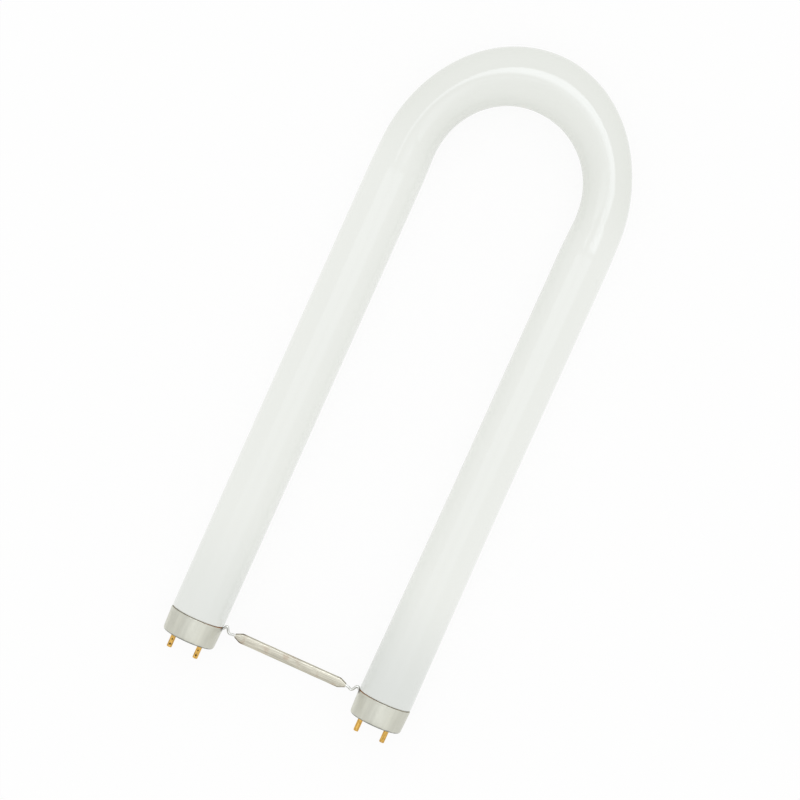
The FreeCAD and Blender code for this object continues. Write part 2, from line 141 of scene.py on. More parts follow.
class GlassSettings(bpy.types.PropertyGroup):
    left_leg: length("Left leg", 0.0253, "Diameter of the left leg below the bend")
    right_leg: length("Right leg", 0.0234, "Diameter of the right leg below the bend")
    left_shoulder: length("Left shoulder", 0.0238, "Narrowest place on the left of the bend")
    right_shoulder: length("Right shoulder", 0.0218, "Narrowest place on the right of the bend")
    at_cap: length("At the cap", 0.0250, "Diameter of both legs at their caps")
    crown: length("Crown", 2 * AXIS_Z, "Widest place, at the top of the bend")
    rise: length("Rise", 0.0518, "Height of the bend's centre line over the end of the legs")
    taper: length("Taper", 0.100, "Length over which a leg changes from its cap's diameter to its own")
    shoulder_round: length("End rounding", 0.0010, "Rounding where a leg necks down into its cap")
    neck: length("Neck", 0.0211, "Diameter of the glass inside the cap")
    white: colour("Coating", "F2F4EF", "White powder coating seen through the glass")
    end_grey: colour("End", "E2E5E1", "Greyer, thinner coating near the caps")
    # colour of the bend's outer side: partly thinned coating, partly painted shade
    bend_painted_shade: colour("Bend", "DDE0D8", "Coating thinned where the bend stretched the glass, outside most")
    sides: IntProperty(name="Sides", description="Corners of each glass ring", default=96, min=12, max=256)


class CapSettings(bpy.types.PropertyGroup):
    rim: length("Rim", 0.0252, "Outer diameter of the rim")
    draft: length("Draft", 0.0007, "Rim diameter less that of the end")
    sheet: length("Sheet", 0.0004, "Wall of the drawn cup")
    corner: length("Corner", 0.0013, "Rounding of the closed end")
    opening: length("Opening", 0.0059, "Width of the oval opening for the pin plate")
    notch: length("Notch", 0.0013, "Width of the slot in the rim for the tie wire")
    metal: colour("Aluminium", "D3D3C7", "Drawn aluminium of the skirt")
    # painted shade round the rounded corner of the cap's end
    corner_painted_shade: colour("Edge", "5E605C", "Dark line on the rounded end")
    cement: colour("Cement", "B9B09E", "Basing cement in the joint")
    cement_warm: colour("Baked cement", "C07A38", "Cement browned at the hook of the wire")
    # char of the cement's pits, also used as painted shade round the wire's hook on the cement and the cap
    char: colour("Char", "3A2C20", "Burnt cement in pits and round the wire")
    plate: colour("Pin plate", "3B2D24", "Moulded phenolic of the pin plate")


class PinSettings(bpy.types.PropertyGroup):
    diameter: length("Pin", 0.00235, "Contact pin")
    bore: length("Bore", 0.0012, "Bore of the hollow pin")
    spacing: length("Spacing", 0.0127, "Between the two pins of a cap")
    tip: length("Tip", 0.0004, "Rounding of the tip")
    dent: length("Dent", 0.0005, "Radius of the crimp dents")
    brass: colour("Brass", "E1B45F", "Drawn brass of the pins")
    tarnish: colour("Tarnish", "3A2510", "Dark brass in the dents")
    lead: colour("Lead wire", "A9A49B", "Nickel-iron lead in the bore")


class BraceSettings(bpy.types.PropertyGroup):
    sleeve_length: length("Sleeve", 0.0543, "Flattened sleeve, tip to tip")
    sleeve_width: length("Width", 0.0047, "Sleeve across")
    sleeve_thickness: length("Thickness", 0.0022, "Sleeve from its lower to its upper face")
    sheet: length("Sheet", 0.0003, "Wall of the sleeve")
    drop: length("Drop", 0.0009, "Sleeve's centre line under the rims")
    wire: length("Wire", 0.0012, "Diameter of the tie wire")
    plating: colour("Plating", "C9C5B5", "Dull nickel plating of the sleeve")
    rub: colour("Rub", "B39F8A", "Worn patches where the copper under the plating shows through")
    # painted shade on the tapered flanks of the sleeve's pinched ends
    end_painted_shade: colour("Stain", "54442F", "Brown stain on the pinched ends")
    tin: colour("Tin", "D2D2CC", "Tinned steel of the wire")


class StageSettings(bpy.types.PropertyGroup):
    floor_size: length("Floor", 8.0, "Side of the floor")
    floor_white: colour("Floor colour", "FCFCFB", "Plain pale floor")
    backdrop: FloatProperty(
        name="Backdrop", description="Share of plain white in what the camera sees of the floor",
        default=0.90, min=0.0, max=1.0, subtype="FACTOR")
    zenith: FloatProperty(name="Zenith", description="Strength of the sky overhead", default=0.94, min=0.0)
    horizon: FloatProperty(name="Horizon", description="Strength of the sky low down", default=0.965,
                           min=0.0)
    softbox: FloatProperty(name="Softbox", description="Strength of the softboxes", default=3.0, min=0.0)
    focal: FloatProperty(name="Lens", description="Focal length of the camera", default=161.2, min=1.0,
                         unit="CAMERA")


def node(tree, kind, inputs=None, **settings):
    """Add a node, with its settings, and with its inputs set or linked."""
    made = tree.nodes.new(kind)
    for name, value in settings.items():
        setattr(made, name, value)
    for name, value in (inputs or {}).items():
        if isinstance(value, bpy.types.NodeSocket):
            tree.links.new(value, made.inputs[name])
        else:
            made.inputs[name].default_value = value
    return made


def spread(tree, value, low, high, start, end, smooth=False):
    """Map one range of a value onto another, held at its ends."""
    kind = "SMOOTHSTEP" if smooth else "LINEAR"
    inputs = {0: value, 1: low, 2: high, 3: start, 4: end}
    return node(tree, "ShaderNodeMapRange", inputs, interpolation_type=kind).outputs[0]


def sums(tree, operation, *values, **settings):
    """Arithmetic on plain values."""
    inputs = dict(enumerate(values))
    return node(tree, "ShaderNodeMath", inputs, operation=operation, **settings).outputs[0]


def blend(tree, share, first, second):
    """Mix two colours by the share of the second."""
    return node(tree, "ShaderNodeMix", {0: share, 6: first, 7: second}, data_type="RGBA").outputs[2]


def toned(tree, shade, level):
    """Colour made lighter or darker by a level."""
    return node(tree, "ShaderNodeVectorMath", {0: shade, 1: level}, operation="MULTIPLY").outputs[0]


def scaled(tree, at, scale):
    """Place stretched along its axes."""
    return node(tree, "ShaderNodeMapping", {0: at, 3: scale}).outputs[0]


def noise(tree, at, scale, detail, **more):
    """Level of a noise, in cells per metre of the place."""
    inputs = {"Vector": at, "Scale": scale, "Detail": detail, **more}
    return node(tree, "ShaderNodeTexNoise", inputs).outputs[0]


def bump(tree, strength, distance, height, **more):
    """Normal tilted by a height."""
    inputs = {"Strength": strength, "Distance": distance, "Height": height, **more}
    return node(tree, "ShaderNodeBump", inputs).outputs[0]


def principled(tree, inputs):
    """Surface of the material, linked to its output."""
    surface = node(tree, "ShaderNodeBsdfPrincipled", inputs)
    node(tree, "ShaderNodeOutputMaterial", {0: surface.outputs[0]})


def start_material(name):
    """New material and its tree, with the output node still to be linked."""
    material = bpy.data.materials.new(name)
    material.use_nodes = True
    material.node_tree.nodes.clear()
    return material, material.node_tree


def coated_glass(settings):
    # Soda-lime tube, clear and fire-polished outside and dusted with white phosphor inside: a matte,
    # slightly warm white under a hard wet-looking gloss, with faint draw lines along the tube.
    # The coating thins and greys over the last few centimetres before each cap, more at the right one; the
    # outer side of the stretched bend is darker, partly thinned coating and partly painted shade.
    material, tree = start_material("phosphor_coated_glass")
    place = node(tree, "ShaderNodeTexCoord")
    axes = node(tree, "ShaderNodeSeparateXYZ", {0: place.outputs["Object"]})
    drawn = node(tree, "ShaderNodeAttribute", attribute_name="drawn")
    near_cap = spread(tree, axes.outputs["Y"], RIM_Y + mm(62), RIM_Y, 0.0, 1.0, smooth=True)
    side = spread(tree, axes.outputs["X"], -HALF, HALF, 0.55, 1.0)
    greyed = sums(tree, "MULTIPLY", near_cap, side)
    # clouds of coating about 25 mm across, drawn out along the tube
    stretch = scaled(tree, drawn.outputs["Vector"], (40.0, 40.0, 8.0))
    clouds = noise(tree, stretch, 1.0, 3.0)
    mottle = spread(tree, clouds, 0.3, 0.7, 0.0, 0.08)
    amount = sums(tree, "ADD", greyed, mottle, use_clamp=True)
    white = blend(tree, amount, settings.white, settings.end_grey)
    # painted shade on the outer side of the bend, partly a thinned coating there
    spring = GLASS_HIGH.y - settings.crown / 2 - settings.rise
    bent = spread(tree, axes.outputs["Y"], spring - mm(15), spring + mm(25), 0.0, 1.0, smooth=True)
    section = node(tree, "ShaderNodeSeparateXYZ", {0: drawn.outputs["Vector"]})
    outside = spread(tree, section.outputs["X"], mm(-11), mm(11), 1.0, 0.2)
    bend_shade_share = sums(tree, "MULTIPLY", bent, outside)
    coat = blend(tree, bend_shade_share, white, settings.bend_painted_shade)
    # draw lines 1.5 mm apart round the tube and about 60 mm long
    lines_at = scaled(tree, drawn.outputs["Vector"], (650.0, 650.0, 16.0))
    waves = noise(tree, lines_at, 1.0, 2.0)
    ripples = bump(tree, 0.04, mm(0.02), waves)
    principled(tree, {
        "Base Color": coat, "Roughness": 0.6, "Specular IOR Level": 0.0, "Coat Weight": 1.0,
        "Coat Roughness": 0.05, "Coat IOR": 1.52, "Coat Normal": ripples})
    return material


def drawn_aluminium(settings, name, across, hook):
    # Soft aluminium cup, deep-drawn and left bare: satin grey with a slightly warm cast, broad light and
    # dark bands up the skirt that are partly flow marks and partly painted reflection, fine draw scratches,
    # painted shade as a dark line round the corner of the closed end, and painted shade at the hook of the
    # tie wire.
    material, tree = start_material(name)
    place = node(tree, "ShaderNodeTexCoord")
    centred = node(tree, "ShaderNodeMapping", {0: place.outputs["Object"], 1: (-across, -FACE_Y, -AXIS_Z)})
    # bands 4 mm wide that run up the skirt, partly flow marks and partly painted reflection
    bands_at = scaled(tree, centred.outputs[0], (230.0, 30.0, 230.0))
    flow_and_reflection_bands = noise(tree, bands_at, 1.0, 3.0, Roughness=0.6)
    # draw scratches 0.25 mm wide
    scratch_at = scaled(tree, centred.outputs[0], (4000.0, 260.0, 4000.0))
    scratch = noise(tree, scratch_at, 1.0, 2.0)
    # handling marks about 1.5 mm across
    marks = noise(tree, centred.outputs[0], 650.0, 4.0, Distortion=0.6)
    # painted shade: a dark line round the rounded corner of the closed end, ragged by the marks
    axes = node(tree, "ShaderNodeSeparateXYZ", {0: centred.outputs[0]})
    rag = sums(tree, "MULTIPLY_ADD", marks, mm(0.9), axes.outputs["Y"])
    edge = spread(tree, rag, mm(0.6), mm(1.3), 0.9, 0.0, smooth=True)
    flat = scaled(tree, centred.outputs[0], (1.0, 0.0, 1.0))
    out = node(tree, "ShaderNodeVectorMath", {0: flat}, operation="LENGTH")
    corner = spread(tree, out.outputs["Value"], mm(9.9), mm(10.8), 0.1, 1.0)
    line = sums(tree, "MULTIPLY", edge, corner)
    tone = spread(tree, flow_and_reflection_bands, 0.3, 0.7, 0.86, 1.06)
    reflection_banded = toned(tree, settings.metal[:3], tone)
    corner_shaded = blend(tree, line, reflection_banded, settings.corner_painted_shade)
    # painted shade at the hook of the tie wire, where the notch sits in shade
    at_hook = node(tree, "ShaderNodeVectorMath", {0: place.outputs["Object"], 1: (hook, RIM_Y, AXIS_Z)},
                   operation="SUBTRACT")
    drawn_out = scaled(tree, at_hook.outputs[0], (1.0, 1.0, 0.3))
    from_hook = node(tree, "ShaderNodeVectorMath", {0: drawn_out}, operation="LENGTH")
    hook_shade_reach = sums(tree, "MULTIPLY_ADD", marks, mm(1.0), from_hook.outputs["Value"])
    painted_hook_shade = spread(tree, hook_shade_reach, mm(1.5), mm(2.4), 0.85, 0.0)
    metal = blend(tree, painted_hook_shade, corner_shaded, settings.char)
    rough = spread(tree, marks, 0.3, 0.7, 0.32, 0.5)
    dents = bump(tree, 0.5, mm(0.12), marks)
    grain = bump(tree, 0.25, mm(0.03), scratch, Normal=dents)
    principled(tree, {"Base Color": metal, "Metallic": 1.0, "Roughness": rough, "Normal": grain})
    return material


def basing_cement(settings, name, hook):
    # Cured phenolic cement with stone filler: dull grey-brown and grainy, baked orange-brown at the hook.
    material, tree = start_material(name)
    place = node(tree, "ShaderNodeTexCoord")
    centred = node(tree, "ShaderNodeMapping", {0: place.outputs["Object"], 1: (-hook, -RIM_Y, -AXIS_Z)})
    far = node(tree, "ShaderNodeVectorMath", {0: centred.outputs[0]}, operation="LENGTH")
    # filler grains 0.3 mm across
    grains = noise(tree, place.outputs["Object"], 3300.0, 3.0)
    rag = sums(tree, "MULTIPLY_ADD", grains, mm(4), far.outputs["Value"])
    baked = spread(tree, rag, mm(6), mm(19), 1.0, 0.0)
    mixed = blend(tree, baked, settings.cement, settings.cement_warm)
    # pits and char 0.8 mm across, and painted shade close round the wire
    pits = noise(tree, place.outputs["Object"], 1250.0, 1.0)
    pitted = spread(tree, pits, 0.66, 0.72, 0.0, 0.85)
    painted_wire_shade = spread(tree, rag, mm(2.6), mm(4.2), 1.0, 0.0)
    dark = sums(tree, "MAXIMUM", pitted, painted_wire_shade)
    pits_and_painted_shade = blend(tree, dark, mixed, settings.char)
    tone = spread(tree, grains, 0.3, 0.7, 0.8, 1.12)
    grainy = toned(tree, pits_and_painted_shade, tone)
    rough = bump(tree, 0.8, mm(0.1), grains)
    principled(tree, {"Base Color": grainy, "Roughness": 0.9, "Normal": rough})
    return material


def pin_brass(settings):
    # Drawn yellow brass: warm gold with a tight sheen, lengthwise light and dark streaks that are partly
    # draw lines and partly painted reflection, and thin brown tarnish.
    material, tree = start_material("drawn_brass")
    place = node(tree, "ShaderNodeTexCoord")
    # draw lines 0.5 mm wide, the finest that shows in the picture
    lines_at = scaled(tree, place.outputs["Object"], (2000.0, 150.0, 2000.0))
    lines = noise(tree, lines_at, 1.0, 2.0)
    # tarnish in patches about 1 mm across
    patches = noise(tree, place.outputs["Object"], 1000.0, 4.0)
    dull = spread(tree, patches, 0.5, 0.75, 0.0, 0.45)
    # light and dark streaks along the pin: partly draw lines, partly painted reflection
    streak_and_reflection = spread(tree, lines, 0.35, 0.65, 0.72, 1.15)
    reflection_streaked = toned(tree, settings.brass[:3], streak_and_reflection)
    metal = blend(tree, dull, reflection_streaked, settings.tarnish)
    rough = spread(tree, patches, 0.3, 0.7, 0.24, 0.4)
    grain = bump(tree, 0.3, mm(0.03), lines)
    principled(tree, {"Base Color": metal, "Metallic": 1.0, "Roughness": rough, "Normal": grain})
    return material


def dent_brass(settings):
    # The same brass where the crimping punch struck: dark oxide and grease in the bottom of the dents.
    material, tree = start_material("oxidised_brass")
    place = node(tree, "ShaderNodeTexCoord")
    specks = noise(tree, place.outputs["Object"], 4000.0, 2.0)
    tone = spread(tree, specks, 0.3, 0.7, 0.0, 0.35)
    metal = blend(tree, tone, settings.tarnish, settings.brass)
    principled(tree, {"Base Color": metal, "Metallic": 0.4, "Roughness": 0.7})
    return material


def dull_plating(settings):
    # Steel tube, dull nickel plated and pressed flat: warm silver, fine lengthwise brushing, cloudy patches
    # where the press marked it, and dark brown painted shade on the tapered flanks of the pinched ends.
    material, tree = start_material("dull_nickel_plate")
    place = node(tree, "ShaderNodeTexCoord")
    axes = node(tree, "ShaderNodeSeparateXYZ", {0: place.outputs["Object"]})
    # brushing 0.4 mm from line to line, the finest that shows in the picture
    brush_at = scaled(tree, place.outputs["Object"], (90.0, 4600.0, 4600.0))
    brush = noise(tree, brush_at, 1.0, 1.0)
    # press marks about 5 mm across
    press = noise(tree, place.outputs["Object"], 200.0, 3.0)
    reach = sums(tree, "ABSOLUTE", axes.outputs["X"])
    tip = settings.sleeve_length / 2
    middle = sums(tree, "SUBTRACT", axes.outputs["Y"], RIM_Y - settings.drop)
    aside = sums(tree, "ABSOLUTE", middle)
    # painted shade: dark brown on the tapered flanks of the pinched ends, ragged by the press marks
    rag = sums(tree, "MULTIPLY_ADD", press, mm(0.8), aside)
    flank = spread(tree, reach, tip - mm(3.4), tip, settings.sleeve_width / 2 - mm(0.1), mm(0.75))
    past = sums(tree, "SUBTRACT", rag, flank)
    end_shade_edge = spread(tree, past, 0.0, mm(0.35), 0.0, 0.9)
    zone = spread(tree, reach, tip - mm(5.0), tip - mm(3.6), 0.0, 1.0)
    patch = spread(tree, press, 0.42, 0.56, 0.45, 1.0)
    where = sums(tree, "MULTIPLY", zone, patch)
    end = sums(tree, "MULTIPLY", end_shade_edge, where)
    rubbed = spread(tree, press, 0.55, 0.7, 0.0, 0.5)
    plate = blend(tree, rubbed, settings.plating, settings.rub)
    level = spread(tree, brush, 0.3, 0.7, 0.68, 1.16)
    brushed = toned(tree, plate, level)
    metal = blend(tree, end, brushed, settings.end_painted_shade)
    rough = spread(tree, press, 0.3, 0.7, 0.36, 0.52)
    marks = bump(tree, 0.4, mm(0.15), press)
    grain = bump(tree, 0.3, mm(0.03), brush, Normal=marks)
    principled(tree, {"Base Color": metal, "Metallic": 1.0, "Roughness": rough, "Normal": grain})
    return material


def tinned_steel(settings):
    # Bright tinned steel wire: whitish silver with a soft sheen and faint die lines.
    material, tree = start_material("tinned_steel_wire")
    place = node(tree, "ShaderNodeTexCoord")
    # smears of tin about 0.6 mm across
    smears = noise(tree, place.outputs["Object"], 1600.0, 3.0)
    tone = spread(tree, smears, 0.3, 0.7, 0.82, 1.05)
    metal = toned(tree, settings.tin[:3], tone)
    rough = spread(tree, smears, 0.3, 0.7, 0.26, 0.42)
    grain = bump(tree, 0.25, mm(0.03), smears)
    principled(tree, {"Base Color": metal, "Metallic": 1.0, "Roughness": rough, "Normal": grain})
    return material


def moulded_phenolic(settings):
    # Compression-moulded phenolic with wood-flour filler: dark brown, satin, with paler specks.
    material, tree = start_material("moulded_phenolic")
    place = node(tree, "ShaderNodeTexCoord")
    # specks of filler 0.4 mm across
    specks = noise(tree, place.outputs["Object"], 2500.0, 4.0)
    tone = spread(tree, specks, 0.35, 0.75, 0.75, 1.9)
    resin = toned(tree, settings.plate[:3], tone)
    rough = spread(tree, specks, 0.3, 0.7, 0.38, 0.55)
    grain = bump(tree, 0.2, mm(0.03), specks)
    principled(tree, {"Base Color": resin, "Roughness": rough, "Normal": grain})
    return material


def lead_alloy(settings):
    # Nickel-iron lead wire, annealed: dull grey with faint heat colour.
    material, tree = start_material("nickel_iron_wire")
    place = node(tree, "ShaderNodeTexCoord")
    # heat colour in patches about 1 mm long
    heat = noise(tree, place.outputs["Object"], 1000.0, 2.0)
    tone = spread(tree, heat, 0.3, 0.7, 0.6, 1.05)
    metal = toned(tree, settings.lead[:3], tone)
    principled(tree, {"Base Color": metal, "Metallic": 1.0, "Roughness": 0.45})
    return material


def white_floor(settings):
    # Seamless white card: the camera and the gloss of the lamp see it as plain white with a soft shadow.
    material, tree = start_material("white_card")
    ray = node(tree, "ShaderNodeLightPath")
    seen = sums(tree, "MAXIMUM", ray.outputs["Is Camera Ray"], ray.outputs["Is Glossy Ray"])
    shown = sums(tree, "MAXIMUM", seen, ray.outputs["Is Transmission Ray"])
    share = sums(tree, "MULTIPLY", shown, settings.backdrop)
    card = node(tree, "ShaderNodeBsdfDiffuse", {"Color": settings.floor_white})
    plain = node(tree, "ShaderNodeEmission", {"Color": (1.0, 1.0, 1.0, 1.0), "Strength": 1.0})
    both = node(tree, "ShaderNodeMixShader", {0: share, 1: card.outputs[0], 2: plain.outputs[0]})
    node(tree, "ShaderNodeOutputMaterial", {0: both.outputs[0]})
    return material


def ramp(tree, share, stops):
    """Grey level that follows stops of (share, level)."""
    made = node(tree, "ShaderNodeValToRGB", {0: share})
    steps = made.color_ramp.elements
    while len(steps) < len(stops):
        steps.new(0.5)
    for step, (at, level) in zip(steps, stops):
        step.position = at
        step.color = (level, level, level, 1.0)
    return made.outputs[0]


def softbox_cloth(settings, name, across, along, gridded):
    # Sheer diffuser cloth of a softbox, brighter or dimmer across and along it; the sky shows through it.
    # Where it has a grid, that keeps its light to the right of the lamp's middle.
    material, tree = start_material(name)
    place = node(tree, "ShaderNodeTexCoord")
    axes = node(tree, "ShaderNodeSeparateXYZ", {0: place.outputs["UV"]})
    share = sums(tree, "MULTIPLY", ramp(tree, axes.outputs["X"], across),
                 ramp(tree, axes.outputs["Y"], along))
    if gridded:
        ray = node(tree, "ShaderNodeNewGeometry")
        way = node(tree, "ShaderNodeSeparateXYZ", {0: ray.outputs["Incoming"]})
        start = node(tree, "ShaderNodeSeparateXYZ", {0: ray.outputs["Position"]})
        slope = sums(tree, "DIVIDE", way.outputs["X"], way.outputs["Z"])
        landing = sums(tree, "MULTIPLY_ADD", slope, AXIS_Z - SOFTBOX_Z, start.outputs["X"])
        passed = spread(tree, landing, -HALF / 2, HALF / 2, 0.1, 1.0)
        share = sums(tree, "MULTIPLY", share, passed)
    strength = sums(tree, "MULTIPLY", share, settings.softbox)
    glow = node(tree, "ShaderNodeEmission", {"Color": linear("EEF3FF"), "Strength": strength})
    clear = node(tree, "ShaderNodeBsdfTransparent")
    both = node(tree, "ShaderNodeAddShader", {0: glow.outputs[0], 1: clear.outputs[0]})
    node(tree, "ShaderNodeOutputMaterial", {0: both.outputs[0]})
    return material


def add_ring(sides, radius, place, turn):
    """Add a circle where the piece is cut square to its run."""
    bpy.ops.mesh.primitive_circle_add(vertices=sides, radius=radius, location=place, rotation=turn)


def select_rings(piece, sides, wanted):
    """In edit mode, select only the edges that lie in the wanted rings."""
    bpy.ops.mesh.select_mode(type="EDGE")
    bpy.ops.mesh.select_all(action="DESELECT")
    mesh = bmesh.from_edit_mesh(piece.data)
    for edge in mesh.edges:
        a, b = [corner.index // sides for corner in edge.verts]
        edge.select_set(a == b and a in wanted)
    bmesh.update_edit_mesh(piece.data)


def skin(name, rings, sides, closed):
    """Bridge rings of (radius, place, turn) one to the next, then join last to first or fill both."""
    bpy.ops.object.select_all(action="DESELECT")
    add_ring(sides, *rings[0])
    piece = bpy.context.active_object
    piece.name = name
    piece.data.name = name
    bpy.ops.object.transform_apply(location=True, rotation=True, scale=True)
    bpy.ops.object.mode_set(mode="EDIT")
    for k, ring in enumerate(rings[1:], start=1):
        add_ring(sides, *ring)
        select_rings(piece, sides, (k - 1, k))
        bpy.ops.mesh.bridge_edge_loops()
    last = len(rings) - 1
    if closed:
        select_rings(piece, sides, (last, 0))
        bpy.ops.mesh.bridge_edge_loops()
    else:
        for k in (0, last):
            select_rings(piece, sides, (k,))
            bpy.ops.mesh.edge_face_add()
    bpy.ops.mesh.select_all(action="SELECT")
    bpy.ops.mesh.normals_make_consistent(inside=False)
    bpy.ops.object.mode_set(mode="OBJECT")
    return piece


def part_rings(piece, sides, reaches, axis, middle):
    """Draw rings out into ovals: each half of a ring moves from the middle along an axis by its reach."""
    bpy.ops.object.mode_set(mode="EDIT")
    bpy.ops.mesh.select_mode(type="VERT")
    for k, reach in reaches.items():
        for sign in (-1, 1):
            bpy.ops.mesh.select_all(action="DESELECT")
            mesh = bmesh.from_edit_mesh(piece.data)
            for corner in mesh.verts:
                if corner.index // sides == k:
                    corner.select_set(sign * (corner.co[axis] - middle) > 1e-7)
            bmesh.update_edit_mesh(piece.data)
            shift = Vector((0.0, 0.0, 0.0))
            shift[axis] = sign * reach
            bpy.ops.transform.translate(value=shift)
    bpy.ops.object.mode_set(mode="OBJECT")


def turned(name, profile, across, sides):
    """Turn a closed profile of (radius, up) in millimetres about a line along Y at the cap's height."""
    square = (math.pi / 2, 0.0, 0.0)
    rings = [(mm(r), (across, FACE_Y + mm(up), AXIS_Z), square) for r, up in profile]
    return skin(name, rings, sides, closed=True)


def corner_arc(r, up, radius, start, end, steps):
    """Points of a rounding about (r, up), from one angle in degrees to another."""
    angles = [math.radians(start + (end - start) * k / steps) for k in range(steps + 1)]
    return [(r + radius * math.cos(a), up + radius * math.sin(a)) for a in angles]


def cut_away(piece, cutter):
    """Take a cutter's shape out of a piece, and the cutter away."""
    bpy.ops.object.select_all(action="DESELECT")
    bpy.context.view_layer.objects.active = piece
    piece.select_set(True)
    if not cutter.data.materials:
        cutter.data.materials.append(piece.data.materials[0])
    cut = piece.modifiers.new("cut", "BOOLEAN")
    cut.operation = "DIFFERENCE"
    cut.solver = "MANIFOLD"
    cut.material_mode = "TRANSFER"
    cut.object = cutter
    bpy.ops.object.modifier_apply(modifier=cut.name)
    bpy.data.objects.remove(cutter)


def finish_piece(piece, material, node_name, angle):
    """Shade a finished piece, give it its material and tie it to the frame."""
    bpy.ops.object.select_all(action="DESELECT")
    bpy.context.view_layer.objects.active = piece
    piece.select_set(True)
    bpy.ops.object.shade_smooth_by_angle(angle=math.radians(angle))
    if not piece.data.materials:
        piece.data.materials.append(material)
    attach(piece, "root")
    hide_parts(node_name)


def glass_path(settings):
    """Places along the tube from the left neck to the right one: (distance, place, lean, radius)."""
    spring = GLASS_HIGH.y - settings.crown / 2 - settings.rise
    rim = settings.at_cap / 2
    neck = settings.neck / 2
    rounding = settings.shoulder_round
    step = RIM_Y + mm(0.18)
    for side, sign in SIDES:
        leg = getattr(settings, side + "_leg") / 2
        shoulder = getattr(settings, side + "_shoulder") / 2
        end = [(neck - mm(1.6), FACE_Y + mm(4)), (neck, FACE_Y + mm(5.6)), (neck, step - mm(0.02))]
        end.append((rim - rounding, step))
        for k in range(1, ROUND_RINGS + 1):
            a = math.radians(90 * k / ROUND_RINGS)
            end.append((rim - rounding + rounding * math.sin(a), step + rounding * (1 - math.cos(a))))
        below = spring - mm(16)
        start = end[-1][1]
        for k in range(1, LEG_RINGS + 1):
            y = start + (below - start) * k / LEG_RINGS
            share = min((y - start) / settings.taper, 1.0)
            end.append((rim + (leg - rim) * share, y))
        half = [(Vector((sign * HALF, y, AXIS_Z)), 0.0, r) for r, y in end]
        for k in range(1, RUN_RINGS + 1):
            y = below + (spring - below) * k / RUN_RINGS
            radius = leg + (shoulder - leg) * ease((y - below) / (spring - below) / 2)
            half.append((Vector((sign * HALF, y, AXIS_Z)), 0.0, radius))
        for k in range(1, BEND_RINGS + 1):
            degrees = BEND_STEP * k
            a = math.radians(degrees)
            spot = Vector((sign * HALF * math.cos(a), spring + settings.rise * math.sin(a), AXIS_Z))
            lean = math.atan2(HALF * math.sin(a), settings.rise * math.cos(a))
            if degrees < NARROW_AT:
                radius = leg + (shoulder - leg) * ease(0.5 + degrees / (2 * NARROW_AT))
            else:
                share = (degrees - NARROW_AT) / (90 - NARROW_AT)
                radius = shoulder + (settings.crown / 2 - shoulder) * ease(share)
            half.append((spot, lean, radius))
        if side == "left":
            found = half
        else:
            found += [(spot, math.pi - lean, r) for spot, lean, r in reversed(half[:-1])]
    run = 0.0
    path = []
    for k, (spot, lean, radius) in enumerate(found):
        if k:
            run += (spot - found[k - 1][0]).length
        path.append((run, spot, lean, radius))
    return path


class LAMP_OT_glass_tube(bpy.types.Operator):
    """Bend the coated glass tube: two legs, a tall bend that swells at its crown, and necked ends"""

    bl_idname = "lamp.glass_tube"
    bl_label = "Glass Tube"

    def execute(self, context):
        settings = context.scene.lamp_glass
        sides = settings.sides
        path = glass_path(settings)
        rings = [(r, spot, (math.pi / 2, 0.0, -lean)) for run, spot, lean, r in path]
        tube = skin("coated_glass_tube", rings, sides, closed=False)
        # where each point was on the straight tube, so that draw lines follow the bend
        drawn = tube.data.attributes.new("drawn", "FLOAT_VECTOR", "POINT")
        for i, item in enumerate(drawn.data):
            run, spot, lean, radius = path[i // sides]
            a = 2 * math.pi * (i % sides) / sides
            item.vector = (radius * math.cos(a), radius * math.sin(a), run)
        finish_piece(tube, coated_glass(settings), "glass_tube", angle=50)
        return {"FINISHED"}


class LAMP_OT_end_caps(bpy.types.Operator):
    """Draw the two aluminium caps, each with an oval opening for its pins and a notch for the tie wire"""

    bl_idname = "lamp.end_caps"
    bl_label = "End Caps"

    def execute(self, context):
        settings = context.scene.lamp_caps
        pins = context.scene.lamp_pins
        rim = in_mm(settings.rim) / 2
        draft = in_mm(settings.draft) / 2
        sheet = in_mm(settings.sheet)
        corner = in_mm(settings.corner)
        height = in_mm(RIM_Y - FACE_Y)
        end = rim - draft

        def wall(up):
            return end + draft * up / height

        opening = in_mm(settings.opening) / 2
        # over the end, up the skirt, round the rim and down inside; the end is dished a little, since two
        # rings in one plane don't bridge straight
        profile = [(opening, 0.08), (end - corner - 0.35, 0.02)]
        profile += corner_arc(end - corner, corner, corner, -90, 0, 8)
        profile += [(wall(up), up) for up in (2.2, 4.0, 6.0, 8.0, 10.0, height - 0.25)]
        profile += corner_arc(rim - sheet / 2, height - sheet / 2, sheet / 2, 0, 180, 6)
        profile += [(wall(up) - sheet, up) for up in (8.0, 4.0, corner)]
        profile += [(end - corner, sheet), (end - corner - 0.35, sheet + 0.02), (opening, sheet + 0.08)]
        for side, sign in SIDES:
            across = sign * HALF
            cap = turned(side + "_cap_shell", profile, across, CAP_SIDES)
            ends = {0: pins.spacing / 2, len(profile) - 1: pins.spacing / 2}
            part_rings(cap, CAP_SIDES, ends, 0, across)
            inside = across - sign * mm(rim)
            metal = drawn_aluminium(settings, side + "_drawn_aluminium", across, inside)
            cap.data.materials.append(metal)
            bpy.ops.object.select_all(action="DESELECT")
            bpy.ops.mesh.primitive_cube_add(size=1.0, location=(inside, RIM_Y - mm(0.25), AXIS_Z))
            notch = context.active_object
            notch.scale = (mm(2.4), mm(1.5), settings.notch)
            bpy.ops.object.transform_apply(location=True, rotation=True, scale=True)
            cut_away(cap, notch)
            finish_piece(cap, metal, side + "_end_cap", angle=35)
        return {"FINISHED"}


